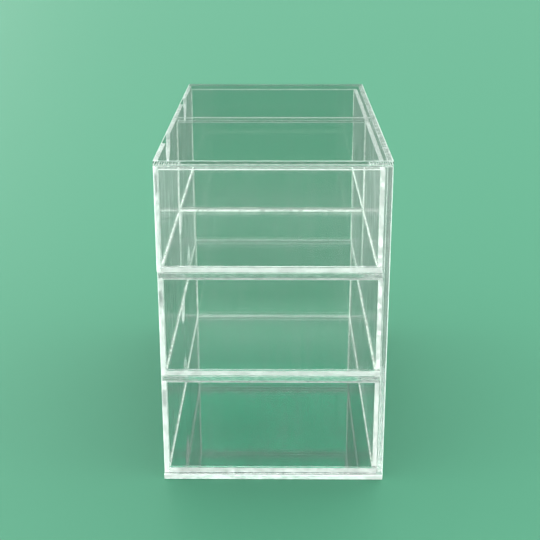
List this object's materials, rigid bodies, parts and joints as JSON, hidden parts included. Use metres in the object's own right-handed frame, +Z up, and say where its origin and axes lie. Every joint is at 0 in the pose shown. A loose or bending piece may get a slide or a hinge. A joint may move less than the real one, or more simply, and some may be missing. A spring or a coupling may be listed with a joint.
{
  "type": "acrylic drawer organizer",
  "caption": "Clear acrylic tabletop organizer with stacked tiers of slide-out drawers, split side by side in the top tier, each with a rounded finger notch in its front.",
  "frame": {"origin": "centre of the footprint, on the underside of the bottom panel", "axes": "+Z up; +X along the width, to the right for someone facing the drawer fronts; the drawer fronts face -Y and the drawers pull out along -Y; the back sheet is at +Y"},
  "size_m": [0.24, 0.1274, 0.19],
  "materials": {
    "case_acrylic": "clear cast acrylic sheet, polished faces, cut edges bright and slightly satin",
    "drawer_acrylic": "clear cast acrylic sheet, polished faces lightly scuffed by use, cut edges bright and slightly satin, cloudy solvent beads in the inside corners"
  },
  "bodies": {
    "case": {"bottom_panel": "case_acrylic", "top_panel": "case_acrylic", "left_side": "case_acrylic", "right_side": "case_acrylic", "back_panel": "case_acrylic", "lower_shelf": "case_acrylic", "upper_shelf": "case_acrylic", "top_tier_partition": "case_acrylic"},
    "lower_drawer": {"lower_drawer_front": "drawer_acrylic", "lower_drawer_floor": "drawer_acrylic", "lower_drawer_left_wall": "drawer_acrylic", "lower_drawer_right_wall": "drawer_acrylic", "lower_drawer_back": "drawer_acrylic"},
    "middle_drawer": {"middle_drawer_front": "drawer_acrylic", "middle_drawer_floor": "drawer_acrylic", "middle_drawer_left_wall": "drawer_acrylic", "middle_drawer_right_wall": "drawer_acrylic", "middle_drawer_back": "drawer_acrylic"},
    "top_left_drawer": {"top_left_drawer_front": "drawer_acrylic", "top_left_drawer_floor": "drawer_acrylic", "top_left_drawer_left_wall": "drawer_acrylic", "top_left_drawer_right_wall": "drawer_acrylic", "top_left_drawer_back": "drawer_acrylic"},
    "top_right_drawer": {"top_right_drawer_front": "drawer_acrylic", "top_right_drawer_floor": "drawer_acrylic", "top_right_drawer_left_wall": "drawer_acrylic", "top_right_drawer_right_wall": "drawer_acrylic", "top_right_drawer_back": "drawer_acrylic"}
  },
  "joints": [
    {"name": "lower_drawer_slide", "type": "slide", "parent": "case", "child": "lower_drawer", "axis": [0, -1, 0], "range_m": [0, 0.11]},
    {"name": "middle_drawer_slide", "type": "slide", "parent": "case", "child": "middle_drawer", "axis": [0, -1, 0], "range_m": [0, 0.11]},
    {"name": "top_left_drawer_slide", "type": "slide", "parent": "case", "child": "top_left_drawer", "axis": [0, -1, 0], "range_m": [-0.0007, 0.11]},
    {"name": "top_right_drawer_slide", "type": "slide", "parent": "case", "child": "top_right_drawer", "axis": [0, -1, 0], "range_m": [-0.0007, 0.11]}
  ]
}
